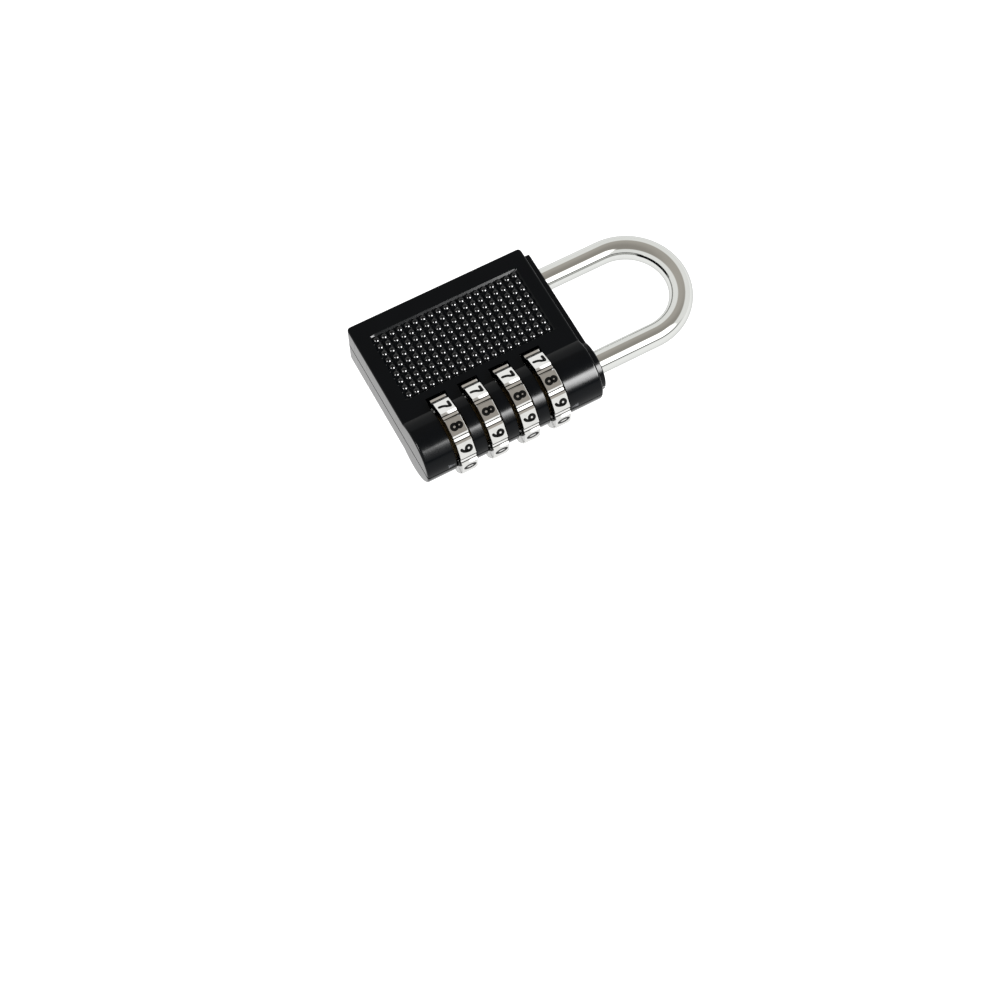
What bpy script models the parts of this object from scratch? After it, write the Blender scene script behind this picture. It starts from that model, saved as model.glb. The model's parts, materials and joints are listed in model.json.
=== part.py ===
"""Four-dial combination padlock, modelled as the separate pieces that it is assembled from.

Frame: metres, +Z up. The padlock lies on its back: +Z is the way the front face looks, +Y is the
way the shackle points, and +X is the side with the number dials. The origin is the middle of the
underside of the whole object's box, and the dials' lowest points touch the plane z = 0.
"""

import math

import bmesh
import bpy
from mathutils import Matrix, Vector

MM = 0.001

# ---------------------------------------------------------------- driving dimensions, millimetres
BODY_WIDTH = 42.0          # x, from the plain side to the outside of the barrel
BODY_LENGTH = 47.6         # y, without the collar
BODY_THICKNESS = 13.4      # z, of the flat part
BARREL_RADIUS = 8.1        # the round side that carries the dials
EDGE_BEVEL = 0.5
COLLAR_HEIGHT = 1.7        # the step at the shackle end
COLLAR_INSET = 1.7
PARTING_GAP = 0.3          # between the two half shells
FIT_GAP = 0.3              # between pieces that touch

DIAL_COUNT = 4
DIAL_PITCH = 8.43
DIAL_WIDTH = 4.1
DIAL_APOTHEM = 9.7         # axis to the flat that carries a digit
DIAL_FLAT = 4.0            # width of that flat
DIAL_GROOVE_RADIUS = 9.4   # floor of the grip groove between two flats
DIAL_GROOVE_FLAT = 0.9     # width of that floor
DIAL_SIDES = 10
WINDOW_WIDTH = 5.3
FIRST_DIAL = 10.4          # y of the first dial's middle, from the bottom end

SHACKLE_RADIUS = 3.0
SHACKLE_LEG_SPACING = 26.45
SHACKLE_TOP = 82.8         # y of the outside of the bow, from the bottom end
SHACKLE_TOE_DEPTH = 6.5    # how far the short leg goes into the collar
SHACKLE_END = 1.5          # y of the long leg's inner end
LUG_REACH = 4.5            # axis to the lug's outer face
LUG_WIDTH = 1.9
LUG_HEIGHT = 2.0

STACK_BORE_RADIUS = 6.4    # bore of the body that the sleeves stand in
STACK_BORE_START = 1.2
STACK_BORE_END = 40.7
HEAD_BORE_RADIUS = 5.3     # room above the stack for the uppermost lug
HEAD_BORE_END = 43.6
SLEEVE_RADIUS = 6.0
SLEEVE_BORE_RADIUS = 3.3
SLEEVE_POCKET_RADIUS = 5.0  # wide part that a lug turns in
SLEEVE_BELOW = 4.0         # sleeve below the dial's middle
SLEEVE_ABOVE = 3.9
SLEEVE_POCKET_END = 1.0    # the wide part ends this far above the dial's middle
SLEEVE_TOOTH_REACH = 7.3
SLEEVE_TOOTH_WIDTH = 1.2
SLEEVE_TOOTH_START = 0.25
SLEEVE_TOOTH_LENGTH = 1.4
GATE_WIDTH = 2.6
DIAL_BORE_RADIUS = 6.3
DIAL_NOTCH_RADIUS = 7.7
DIAL_NOTCH_WIDTH = 1.8

POCKET_WALL = 1.7
POCKET_START = 8.0
POCKET_END = 35.0
CHANNEL_START = 6.5        # channel of the detent spring
CHANNEL_END = 40.0
CHANNEL_X = (20.5, 25.0)
CHANNEL_HALF_DEPTH = 4.0
PANEL_X = (4.7, 24.1)      # recessed panel on the front
PANEL_Y = (3.8, 44.0)
PANEL_DEPTH = 0.6
PIN_PLACES = ((4.2, 4.2), (16.5, 4.2), (16.5, 38.8), (4.2, 38.5))
PIN_RADIUS = 0.9
PIN_LENGTH = 9.0

# ---------------------------------------------------------------- places that follow from them
AXIS_X = BODY_WIDTH - BARREL_RADIUS
TOE_X = AXIS_X - SHACKLE_LEG_SPACING
HALF = BODY_THICKNESS / 2
COLLAR_TOP = BODY_LENGTH + COLLAR_HEIGHT
HALF_SECTOR = math.pi / DIAL_SIDES
FLAT_ANGLE = math.atan2(DIAL_FLAT / 2, DIAL_APOTHEM)
DIAL_OUTER_RADIUS = DIAL_APOTHEM / math.cos(FLAT_ANGLE)
DIAL_LOWEST = DIAL_OUTER_RADIUS * math.cos(HALF_SECTOR - FLAT_ANGLE)
DIAL_Y = [FIRST_DIAL + k * DIAL_PITCH for k in range(DIAL_COUNT)]
MIDDLE = Vector(((AXIS_X + DIAL_APOTHEM) / 2, SHACKLE_TOP / 2, -DIAL_LOWEST))


def world(x, y, z):
    """A place given from the body's corner and its mid-plane, in the object's frame, in metres."""
    return (Vector((x, y, z)) - MIDDLE) * MM


# ---------------------------------------------------------------- the scene
for old in list(bpy.data.objects):
    bpy.data.objects.remove(old)

scene_root = bpy.context.scene.collection
parts = bpy.data.collections.new("combination_padlock")
cutters = bpy.data.collections.new("cutters")
scene_root.children.link(parts)
scene_root.children.link(cutters)


def material(name, colour, roughness, metallic):
    """A plain Principled material."""
    made = bpy.data.materials.new(name)
    made.use_nodes = True
    shader = made.node_tree.nodes["Principled BSDF"]
    shader.inputs["Base Color"].default_value = (*colour, 1.0)
    shader.inputs["Roughness"].default_value = roughness
    shader.inputs["Metallic"].default_value = metallic
    return made


BLACK_PAINT = material("black_enamel", (0.012, 0.013, 0.014), 0.12, 0.0)
CHROME = material("chrome_plate", (0.80, 0.80, 0.79), 0.08, 1.0)
STEEL = material("hardened_steel", (0.62, 0.62, 0.60), 0.15, 1.0)
BRASS = material("brass", (0.72, 0.55, 0.26), 0.30, 1.0)
SPRING_STEEL = material("spring_steel", (0.45, 0.45, 0.44), 0.30, 1.0)


# ---------------------------------------------------------------- making solids
def new_object(name, mesh, finish=None):
    """Puts a mesh in the parts, or in the cutters if it has no finish."""
    made = bpy.data.objects.new(name, mesh)
    if finish is None:
        cutters.objects.link(made)
        made.hide_render = True
        made.display_type = "WIRE"
    else:
        parts.objects.link(made)
        mesh.materials.append(finish)
    return made


def cylinder(name, radius, start, end, finish=None, sides=48):
    """A cylinder along Y, from start to end, in millimetres from its object's origin."""
    body = bmesh.new()
    bmesh.ops.create_cone(
        body, cap_ends=True, segments=sides, radius1=radius * MM, radius2=radius * MM,
        depth=(end - start) * MM,
    )
    turn = Matrix.Rotation(math.radians(-90), 4, "X")
    half_step = Matrix.Rotation(math.pi / sides, 4, "Z")
    move = Matrix.Translation((0, (start + end) / 2 * MM, 0))
    bmesh.ops.transform(body, matrix=move @ turn @ half_step, verts=body.verts)
    mesh = bpy.data.meshes.new(name)
    body.to_mesh(mesh)
    body.free()
    return new_object(name, mesh, finish)


def block(name, low, high, finish=None):
    """A box between two corners, in millimetres from its object's origin."""
    body = bmesh.new()
    bmesh.ops.create_cube(body, size=1.0)
    size = [(b - a) * MM for a, b in zip(low, high)]
    centre = [(a + b) / 2 * MM for a, b in zip(low, high)]
    place = Matrix.Translation(centre) @ Matrix.Diagonal((*size, 1.0))
    bmesh.ops.transform(body, matrix=place, verts=body.verts)
    mesh = bpy.data.meshes.new(name)
    body.to_mesh(mesh)
    body.free()
    return new_object(name, mesh, finish)


def curve_to_object(curve_data, name, finish, turn=Matrix.Identity(4)):
    """Makes a curve a mesh object with its caps welded on."""
    guide = bpy.data.objects.new(name + "_guide", curve_data)
    cutters.objects.link(guide)
    guide.matrix_world = turn
    bpy.context.view_layer.update()
    evaluated = guide.evaluated_get(bpy.context.evaluated_depsgraph_get())
    mesh = bpy.data.meshes.new_from_object(evaluated)
    body = bmesh.new()
    body.from_mesh(mesh)
    bmesh.ops.transform(body, matrix=guide.matrix_world, verts=body.verts)
    bmesh.ops.remove_doubles(body, verts=body.verts, dist=1e-6)
    bmesh.ops.recalc_face_normals(body, faces=body.faces)
    body.to_mesh(mesh)
    body.free()
    mesh.materials.clear()
    bpy.data.objects.remove(guide)
    return new_object(name, mesh, finish)


def prism(name, outline, start, end, finish=None):
    """An outline in x and z, carried along Y from start to end, in millimetres."""
    data = bpy.data.curves.new(name, "CURVE")
    data.dimensions = "2D"
    data.fill_mode = "BOTH"
    data.extrude = (end - start) / 2 * MM
    spline = data.splines.new("POLY")
    spline.points.add(len(outline) - 1)
    for point, (x, z) in zip(spline.points, outline):
        point.co = (x * MM, z * MM, 0.0, 1.0)
    spline.use_cyclic_u = True
    upright = Matrix.Rotation(math.radians(90), 4, "X")
    move = Matrix.Translation((0, (start + end) / 2 * MM, 0))
    return curve_to_object(data, name, finish, move @ upright)


def turned(name, profile, finish=None, steps=48):
    """A profile of (radius, y) points, turned about Y. It runs down its outer side."""
    mesh = bpy.data.meshes.new(name)
    points = [(r * MM, 0.0, h * MM) for r, h in profile]
    count = len(points)
    mesh.from_pydata(points, [(k, (k + 1) % count) for k in range(count)], [])
    made = new_object(name, mesh, finish)
    screw = made.modifiers.new("Turn", "SCREW")
    screw.axis = "Z"
    screw.steps = screw.render_steps = steps
    screw.use_merge_vertices = True
    screw.merge_threshold = 0.00001
    made.rotation_euler = (math.radians(-90), 0, 0)
    return made


def boolean(target, tool, operation="DIFFERENCE"):
    """Cuts or joins with a tool that stays in the cutters."""
    step = target.modifiers.new(tool.name, "BOOLEAN")
    step.operation = operation
    step.solver = "EXACT"
    step.object = tool


def bevel(target, width, segments=2, angle=40):
    """Rounds the edges that are sharper than an angle, once the flat ends are single faces."""
    body = bmesh.new()
    body.from_mesh(target.data)
    bmesh.ops.dissolve_limit(
        body, angle_limit=math.radians(0.5), verts=body.verts, edges=body.edges
    )
    body.to_mesh(target.data)
    body.free()
    step = target.modifiers.new("Edge rounding", "BEVEL")
    step.width = width * MM
    step.segments = segments
    step.limit_method = "ANGLE"
    step.angle_limit = math.radians(angle)


def arc(centre_x, centre_z, radius, first, last, count):
    """Points on an arc, from one angle to another, in degrees."""
    for k in range(count + 1):
        turn = math.radians(first + (last - first) * k / count)
        yield centre_x + radius * math.cos(turn), centre_z + radius * math.sin(turn)


# ---------------------------------------------------------------- the two half shells
def body_section(inset):
    """The body's outline across its length: a flat part with a round barrel at its side."""
    radius = BARREL_RADIUS - inset
    half = HALF - inset
    meet = math.degrees(math.asin(half / radius))
    barrel = list(arc(AXIS_X, 0, radius, meet - 180, 180 - meet, 40))
    return [(inset, half), (inset, -half), *barrel]


def shell_blank(name, side):
    """The whole body's outside, cut down to the half on one side of the parting plane."""
    made = prism(name, body_section(0), 0, BODY_LENGTH, BLACK_PAINT)
    bevel(made, EDGE_BEVEL)
    collar = prism(name + "_collar", body_section(COLLAR_INSET), BODY_LENGTH - 1.5, COLLAR_TOP)
    bevel(collar, EDGE_BEVEL)
    boolean(made, collar, "UNION")
    far = 20 * side
    near = PARTING_GAP / 2 * side
    keep = block(name + "_half", (-5, -5, min(near, far)), (50, 60, max(near, far)))
    boolean(made, keep, "INTERSECT")
    return made


def body_cutters():
    """Everything that is taken out of both shells."""
    made = []
    for number, y in enumerate(DIAL_Y, start=1):
        window = cylinder(
            f"window_{number}", DIAL_OUTER_RADIUS + 0.4, -WINDOW_WIDTH / 2, WINDOW_WIDTH / 2
        )
        window.location = (AXIS_X * MM, y * MM, 0)
        made.append(window)
    bores = (
        ("stack_bore", STACK_BORE_RADIUS, STACK_BORE_START, STACK_BORE_END, AXIS_X),
        ("head_bore", HEAD_BORE_RADIUS, STACK_BORE_END - 1, HEAD_BORE_END, AXIS_X),
        ("leg_bore", SHACKLE_RADIUS + FIT_GAP, HEAD_BORE_END - 1, COLLAR_TOP + 1, AXIS_X),
        ("toe_bore", SHACKLE_RADIUS + FIT_GAP, COLLAR_TOP - SHACKLE_TOE_DEPTH - 0.6,
         COLLAR_TOP + 1, TOE_X),
    )
    for name, radius, start, end, x in bores:
        bore = cylinder(name, radius, start, end)
        bore.location.x = x * MM
        made.append(bore)
    depth = HALF - POCKET_WALL
    made.append(block(
        "main_pocket", (POCKET_WALL + 0.3, POCKET_START, -depth),
        (CHANNEL_X[0] + 0.5, POCKET_END, depth),
    ))
    made.append(block(
        "spring_channel", (CHANNEL_X[0], CHANNEL_START, -CHANNEL_HALF_DEPTH),
        (CHANNEL_X[1], CHANNEL_END, CHANNEL_HALF_DEPTH),
    ))
    for number, (x, y) in enumerate(PIN_PLACES, start=1):
        hole = upright_cylinder(f"pin_hole_{number}", PIN_RADIUS + FIT_GAP, PIN_LENGTH + 0.6)
        hole.location = (x * MM, y * MM, 0)
        made.append(hole)
    return made


def upright_cylinder(name, radius, length, finish=None):
    """A cylinder along Z, centred on its object's origin."""
    body = bmesh.new()
    bmesh.ops.create_cone(
        body, cap_ends=True, segments=20, radius1=radius * MM, radius2=radius * MM,
        depth=length * MM,
    )
    mesh = bpy.data.meshes.new(name)
    body.to_mesh(mesh)
    body.free()
    return new_object(name, mesh, finish)


frame_origin = world(0, 0, 0)
tools = body_cutters()
front_shell = shell_blank("front_shell", +1)
back_shell = shell_blank("back_shell", -1)
for shell in (front_shell, back_shell):
    for tool in tools:
        boolean(shell, tool)
panel = block(
    "panel_recess", (PANEL_X[0], PANEL_Y[0], HALF - PANEL_DEPTH), (PANEL_X[1], PANEL_Y[1], 20)
)
boolean(front_shell, panel)
for thing in (*cutters.objects, front_shell, back_shell):
    thing.location = thing.location + frame_origin


# ---------------------------------------------------------------- the shackle and its ring
def shackle_path():
    """Centre points of the bar: the long leg's inner end, the bow, and the toe's end."""
    bow_radius = SHACKLE_LEG_SPACING / 2
    bow_y = SHACKLE_TOP - SHACKLE_RADIUS - bow_radius
    points = [(AXIS_X, SHACKLE_END), (AXIS_X, COLLAR_TOP)]
    points.extend(arc((AXIS_X + TOE_X) / 2, bow_y, bow_radius, 0, 180, 28))
    points.append((TOE_X, COLLAR_TOP - SHACKLE_TOE_DEPTH))
    return points


def make_shackle():
    """A round bar bent to a U, with a lug for every dial and a groove for its ring."""
    data = bpy.data.curves.new("shackle", "CURVE")
    data.dimensions = "3D"
    data.bevel_depth = SHACKLE_RADIUS * MM
    data.bevel_resolution = 8
    data.use_fill_caps = True
    spline = data.splines.new("POLY")
    path = shackle_path()
    spline.points.add(len(path) - 1)
    for point, (x, y) in zip(spline.points, path):
        point.co = (x * MM, y * MM, 0.0, 1.0)
    made = curve_to_object(data, "shackle", CHROME)
    for number, y in enumerate(DIAL_Y, start=1):
        top = y - SLEEVE_POCKET_END - 0.1
        lug = block(
            f"lug_{number}", (AXIS_X, top - LUG_HEIGHT, -LUG_WIDTH / 2),
            (AXIS_X + LUG_REACH, top, LUG_WIDTH / 2),
        )
        lug.location = frame_origin
        boolean(made, lug, "UNION")
    groove = turned("ring_groove", [(5.0, 2.75), (5.0, 1.95), (2.4, 1.95), (2.4, 2.75)])
    groove.location = world(AXIS_X, 0, 0)
    boolean(made, groove)
    made.location = frame_origin
    return made


make_shackle()
ring = turned("shackle_ring", [(4.5, 2.6), (4.5, 2.1), (2.7, 2.1), (2.7, 2.6)], SPRING_STEEL)
ring.location = world(AXIS_X, 0, 0)


# ---------------------------------------------------------------- the dials
def polar(radius, angle):
    return radius * math.cos(angle), radius * math.sin(angle)


def dial_outline():
    """Ten flats for the digits, with a shallow grip groove between each two."""
    floor_angle = math.atan2(DIAL_GROOVE_FLAT / 2, DIAL_GROOVE_RADIUS)
    for side in range(DIAL_SIDES):
        middle = 2 * HALF_SECTOR * side
        yield polar(DIAL_OUTER_RADIUS, middle - FLAT_ANGLE)
        yield polar(DIAL_OUTER_RADIUS, middle + FLAT_ANGLE)
        yield polar(DIAL_GROOVE_RADIUS, middle + HALF_SECTOR - floor_angle)
        yield polar(DIAL_GROOVE_RADIUS, middle + HALF_SECTOR + floor_angle)


def notch_outline():
    """The bore's upper half: a notch for every digit, which the sleeve's teeth stand in."""
    inner = math.asin(DIAL_NOTCH_WIDTH / 2 / DIAL_BORE_RADIUS)
    outer = math.asin(DIAL_NOTCH_WIDTH / 2 / DIAL_NOTCH_RADIUS)
    for side in range(DIAL_SIDES):
        middle = 2 * HALF_SECTOR * side
        yield polar(DIAL_BORE_RADIUS, middle - inner)
        yield polar(DIAL_NOTCH_RADIUS, middle - outer)
        yield polar(DIAL_NOTCH_RADIUS, middle + outer)
        yield polar(DIAL_BORE_RADIUS, middle + inner)
        yield polar(DIAL_BORE_RADIUS, middle + HALF_SECTOR)


def make_dial(number, y):
    """A number wheel with its origin on its own axis."""
    half = DIAL_WIDTH / 2
    name = f"dial_{number}"
    made = prism(name, list(dial_outline()), -half, half, CHROME)
    notches = prism(name + "_notches", list(notch_outline()), -0.5, half + 1)
    recess = cylinder(name + "_recess", DIAL_NOTCH_RADIUS, -half - 1, 0)
    for tool in (notches, recess):
        tool.location = world(AXIS_X, y, 0)
        boolean(made, tool)
    made.location = world(AXIS_X, y, 0)
    return made


# ---------------------------------------------------------------- the sleeves
def make_sleeve(number, y):
    """The ring inside a dial: two teeth outside, and inside a gate that lets a lug through."""
    name = f"sleeve_{number}"
    made = cylinder(name, SLEEVE_RADIUS, -SLEEVE_BELOW, SLEEVE_ABOVE, BRASS)
    teeth = block(
        name + "_teeth", (-SLEEVE_TOOTH_REACH, SLEEVE_TOOTH_START, -SLEEVE_TOOTH_WIDTH / 2),
        (SLEEVE_TOOTH_REACH, SLEEVE_TOOTH_START + SLEEVE_TOOTH_LENGTH, SLEEVE_TOOTH_WIDTH / 2),
    )
    bore = cylinder(name + "_bore", SLEEVE_BORE_RADIUS, -SLEEVE_BELOW - 1, SLEEVE_ABOVE + 1)
    pocket = cylinder(
        name + "_pocket", SLEEVE_POCKET_RADIUS, -SLEEVE_BELOW - 1, SLEEVE_POCKET_END
    )
    gate = block(
        name + "_gate", (0, 0, -GATE_WIDTH / 2),
        (SLEEVE_POCKET_RADIUS - 0.1, SLEEVE_ABOVE + 1, GATE_WIDTH / 2),
    )
    for tool, operation in (
        (teeth, "UNION"), (bore, "DIFFERENCE"), (pocket, "DIFFERENCE"), (gate, "DIFFERENCE")
    ):
        tool.location = world(AXIS_X, y, 0)
        boolean(made, tool, operation)
    made.location = world(AXIS_X, y, 0)
    return made


for dial_number, dial_y in enumerate(DIAL_Y, start=1):
    make_dial(dial_number, dial_y)
    make_sleeve(dial_number, dial_y)


# ---------------------------------------------------------------- washers, springs and pins
def make_washer(name, start, thickness):
    """A flat ring that the lugs pass through."""
    outer = STACK_BORE_RADIUS - 0.2
    inner = SLEEVE_POCKET_RADIUS
    end = start + thickness
    made = turned(name, [(outer, end), (outer, start), (inner, start), (inner, end)], STEEL)
    made.location = world(AXIS_X, 0, 0)
    return made


LOWER_WASHER_Y = DIAL_Y[0] - SLEEVE_BELOW - FIT_GAP - 0.6
UPPER_WASHER_Y = DIAL_Y[-1] + SLEEVE_ABOVE + FIT_GAP
make_washer("lower_washer", LOWER_WASHER_Y, 0.6)
make_washer("upper_washer", UPPER_WASHER_Y, STACK_BORE_END - FIT_GAP - UPPER_WASHER_Y)


def make_clutch_spring():
    """The coil spring that holds the sleeves up, in mesh with their dials."""
    wire = 0.3
    coil_radius = 5.6
    turns = 3.0
    per_turn = 18
    low = STACK_BORE_START + FIT_GAP / 2 + wire
    high = LOWER_WASHER_Y - FIT_GAP / 2 - wire
    data = bpy.data.curves.new("clutch_spring", "CURVE")
    data.dimensions = "3D"
    data.bevel_depth = wire * MM
    data.bevel_resolution = 2
    data.use_fill_caps = True
    spline = data.splines.new("POLY")
    count = int(turns * per_turn)
    spline.points.add(count)
    for k, point in enumerate(spline.points):
        turn = 2 * math.pi * k / per_turn
        y = low + (high - low) * k / count
        x = coil_radius * math.cos(turn)
        z = coil_radius * math.sin(turn)
        point.co = (x * MM, y * MM, z * MM, 1.0)
    made = curve_to_object(data, "clutch_spring", SPRING_STEEL)
    made.location = world(AXIS_X, 0, 0)
    return made


def make_detent_spring():
    """A wavy leaf with a flat-topped wave for every dial, which rests on the dial's flat."""
    thickness = 0.45
    back = CHANNEL_X[0] + FIT_GAP + thickness
    crest = AXIS_X - DIAL_OUTER_RADIUS - FIT_GAP
    start = CHANNEL_START + FIT_GAP
    end = CHANNEL_END - FIT_GAP
    half_width = 2.2
    steps = 150
    mesh = bpy.data.meshes.new("detent_spring")
    body = bmesh.new()
    edges = []
    for k in range(steps + 1):
        y = start + (end - start) * k / steps
        off = min(abs(y - dial) for dial in DIAL_Y)
        rise = min(1.0, max(0.0, (3.6 - off) / 2.2))
        rise = rise * rise * (3 - 2 * rise)
        x = back + (crest - back) * rise
        edges.append([body.verts.new((x * MM, y * MM, z * MM)) for z in (-half_width, half_width)])
    for (a, b), (c, d) in zip(edges, edges[1:]):
        body.faces.new((a, b, d, c))
    body.to_mesh(mesh)
    body.free()
    made = new_object("detent_spring", mesh, SPRING_STEEL)
    solid = made.modifiers.new("Thickness", "SOLIDIFY")
    solid.thickness = thickness * MM
    solid.offset = 1.0
    made.location = frame_origin
    return made


make_clutch_spring()
make_detent_spring()
for pin_number, (pin_x, pin_y) in enumerate(PIN_PLACES, start=1):
    pin = upright_cylinder(f"shell_pin_{pin_number}", PIN_RADIUS, PIN_LENGTH, STEEL)
    pin.location = world(pin_x, pin_y, 0)
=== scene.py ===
# %% [markdown]
# # A four-dial combination padlock
# The padlock lies on its back: two cast half shells with a barrel along one side, four number
# dials in that barrel, and a chromed U-shaped shackle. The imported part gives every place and
# size. This lesson gives the padlock its finished surfaces and its finishes.

import json
import math

import bpy
import numpy as np
from mathutils import Matrix, Vector

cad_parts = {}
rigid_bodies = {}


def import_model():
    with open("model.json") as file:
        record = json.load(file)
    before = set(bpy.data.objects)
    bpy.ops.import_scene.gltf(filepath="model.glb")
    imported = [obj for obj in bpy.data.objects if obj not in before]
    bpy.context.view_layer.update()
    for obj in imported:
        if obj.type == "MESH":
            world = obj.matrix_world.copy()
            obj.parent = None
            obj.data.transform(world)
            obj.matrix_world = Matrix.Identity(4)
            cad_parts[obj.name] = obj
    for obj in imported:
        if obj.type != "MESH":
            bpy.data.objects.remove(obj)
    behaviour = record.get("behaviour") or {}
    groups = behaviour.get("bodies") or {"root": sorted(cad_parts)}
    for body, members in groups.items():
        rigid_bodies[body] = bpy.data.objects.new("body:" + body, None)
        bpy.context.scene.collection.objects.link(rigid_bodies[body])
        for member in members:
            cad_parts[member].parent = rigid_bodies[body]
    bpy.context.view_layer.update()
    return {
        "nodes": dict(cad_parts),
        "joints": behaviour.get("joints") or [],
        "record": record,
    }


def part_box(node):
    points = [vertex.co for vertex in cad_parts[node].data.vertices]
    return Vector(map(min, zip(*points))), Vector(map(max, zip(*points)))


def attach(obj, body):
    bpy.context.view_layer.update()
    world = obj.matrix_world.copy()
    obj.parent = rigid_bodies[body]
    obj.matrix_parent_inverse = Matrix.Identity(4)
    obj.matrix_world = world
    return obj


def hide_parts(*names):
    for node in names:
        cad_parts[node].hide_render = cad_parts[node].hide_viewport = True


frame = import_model()
MM = 0.001

# %% [markdown]
# ## Places and sizes
# Everything is worked out in millimetres in the part's own frame: +X is the side with the
# dials, +Y is the way the shackle points, +Z is out of the front face. The places come from the
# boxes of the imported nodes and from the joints, so that each finished piece lands exactly where
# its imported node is.

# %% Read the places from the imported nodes


def corners(node):
    """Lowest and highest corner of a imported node, in millimetres."""
    low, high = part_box(node)
    return np.array(low) / MM, np.array(high) / MM


front_low, front_high = corners("front_shell")
back_low, back_high = corners("back_shell")
dial_low, dial_high = corners("dial_1")
bar_low, bar_high = corners("shackle")
ring_low, ring_high = corners("shackle_ring")

hinges = [joint for joint in frame["joints"] if joint["type"] == "hinge"]
DIALS = {joint["child"]: joint["pos_m"][1] / MM for joint in hinges}
AXIS_X = hinges[0]["pos_m"][0] / MM
MID_Z = (front_low[2] + back_high[2]) / 2
HALF_GAP = (front_low[2] - back_high[2]) / 2
mounts = {mount["name"]: mount for mount in frame["record"]["mounts"]}
HALF = MID_Z - mounts["back_face"]["pos_m"][2] / MM
SIDE_X = front_low[0]
BARREL_RADIUS = front_high[0] - AXIS_X
BOTTOM_Y = front_low[1]
COLLAR_Y = front_high[1]
BAR_RADIUS = (bar_high[2] - bar_low[2]) / 2
print("dial axis at x, z:", round(AXIS_X, 2), round(MID_Z, 2))
print("barrel and bar radius:", round(BARREL_RADIUS, 2), round(BAR_RADIUS, 2))
print("dials at y:", {name: round(y, 2) for name, y in DIALS.items()})

# %% [markdown]
# ## From arrays to pieces
# Each surface below is a grid of points computed as whole arrays. Where a shape closes on
# itself, or steps straight down, several grid points fall on one place. Welding such points and
# dropping the faces that shrink to a line leaves one closed skin, so a step or a pole needs no
# special case in the shape's own formula.

# %% Weld a grid and make it a piece
WELD_PER_MM = 1e4


def weld(points, quads):
    """Points within a ten-thousandth of a millimetre become one; flattened faces are dropped."""
    keys = np.round(points * WELD_PER_MM).astype(np.int64)
    _, first, where = np.unique(keys, axis=0, return_index=True, return_inverse=True)
    faces = where.reshape(-1)[quads]
    same = faces == np.roll(faces, -1, axis=1)
    folded = (faces[:, 0] == faces[:, 2]) | (faces[:, 1] == faces[:, 3])
    whole = faces[~same.any(1) & ~folded]
    three = (same.sum(1) == 1) & ~folded
    turn = (same[three].argmax(1)[:, None] + np.arange(1, 4)) % 4
    thin = np.take_along_axis(faces[three], turn, axis=1)
    return points[first], whole.tolist() + thin.tolist()


def volume(points, faces):
    """Volume inside a closed skin, from the tetrahedra between its faces and the origin."""
    fans = [(f[0], f[k], f[k + 1]) for f in faces for k in range(1, len(f) - 1)]
    a, b, c = (points[np.array(fans)[:, k]] for k in range(3))
    return np.einsum("ij,ij->i", a, np.cross(b, c)).sum() / 6


def make_piece(name, points, quads, body, material, slot, smooth=30):
    """A closed skin of quads, in millimetres, made an object that rides on a body.

    Edges that bend by more than smooth degrees stay sharp.
    """
    points, faces = weld(np.asarray(points, float).reshape(-1, 3), np.asarray(quads))
    inside = volume(points, faces)
    if inside < 0:
        faces = [face[::-1] for face in faces]
    mesh = bpy.data.meshes.new(name)
    mesh.from_pydata((points * MM).tolist(), [], faces)
    mesh.shade_smooth()
    mesh.set_sharp_from_angle(angle=math.radians(smooth))
    mesh.materials.append(material)
    made = bpy.data.objects.new(name, mesh)
    bpy.context.scene.collection.objects.link(made)
    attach(made, body)
    edges = [np.sort(np.stack([f, np.roll(f, -1)], 1), 1) for f in map(np.array, faces)]
    _, uses = np.unique(np.concatenate(edges), axis=0, return_counts=True)
    print(f"{name}: {len(faces)} faces, {abs(inside):.1f} mm3, {np.sum(uses != 2)} open edges")
    return made


def grid_quads(rows, columns, closed_rows=False, closed_columns=False):
    """Corner numbers of the faces of a grid whose points are counted row by row."""
    index = np.arange(rows * columns).reshape(rows, columns)
    if closed_rows:
        index = np.vstack([index, index[:1]])
    if closed_columns:
        index = np.hstack([index, index[:, :1]])
    corner = index[:-1, :-1], index[:-1, 1:], index[1:, 1:], index[1:, :-1]
    return np.stack(corner, axis=-1).reshape(-1, 4)


# %% [markdown]
# ## Finishes
# A padlock like this has few finishes, and nearly all of them are mirrors of some kind: black
# enamel baked on cast zinc, bright chrome, and the brass and steel inside. What makes them real
# is small: the slight orange peel of sprayed enamel, the waviness of a plated casting, the fine
# lines of a polishing wheel. Shader maths is written as ordinary arithmetic on signals.

# %% A signal, and a finish that is built from them


class Signal:
    """One output of a shader node; arithmetic on it adds Math nodes."""

    def __init__(self, shader, socket):
        self.shader = shader
        self.socket = socket

    def maths(self, operation, first, second):
        return self.shader.node("ShaderNodeMath", {"operation": operation}, {0: first, 1: second})

    def __add__(self, other):
        return self.maths("ADD", self, other)

    def __radd__(self, other):
        return self.maths("ADD", other, self)

    def __sub__(self, other):
        return self.maths("SUBTRACT", self, other)

    def __rsub__(self, other):
        return self.maths("SUBTRACT", other, self)

    def __mul__(self, other):
        return self.maths("MULTIPLY", self, other)

    def __rmul__(self, other):
        return self.maths("MULTIPLY", other, self)


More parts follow.
